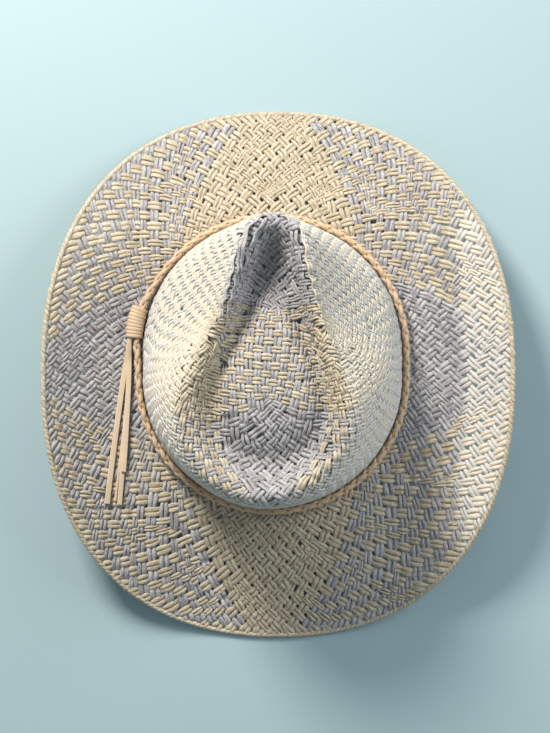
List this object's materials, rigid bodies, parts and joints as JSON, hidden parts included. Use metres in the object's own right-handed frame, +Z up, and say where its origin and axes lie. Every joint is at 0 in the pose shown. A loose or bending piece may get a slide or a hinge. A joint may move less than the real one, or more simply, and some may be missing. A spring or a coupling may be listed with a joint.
{
  "type": "straw rancher hat",
  "caption": "Wide-brimmed woven straw rancher hat with a pinched teardrop crown, a whipped brim edge and a braided leather band with a knotted tassel.",
  "frame": {"origin": "on the surface that the hat rests on, under the middle of the brim", "axes": "+Y towards the hat's front, +X towards its right as seen from above, +Z up"},
  "size_m": [0.317, 0.364, 0.1335],
  "materials": {
    "straw_cream": "matt paper straw",
    "straw_grey": "matt paper straw",
    "leather": "undyed lace, satin"
  },
  "bodies": {
    "root": {"crown": "straw_grey", "brim": "straw_cream", "edge_roll": "straw_cream", "braided_band": "leather", "band_knot": "leather", "tassel": "leather"}
  },
  "joints": []
}
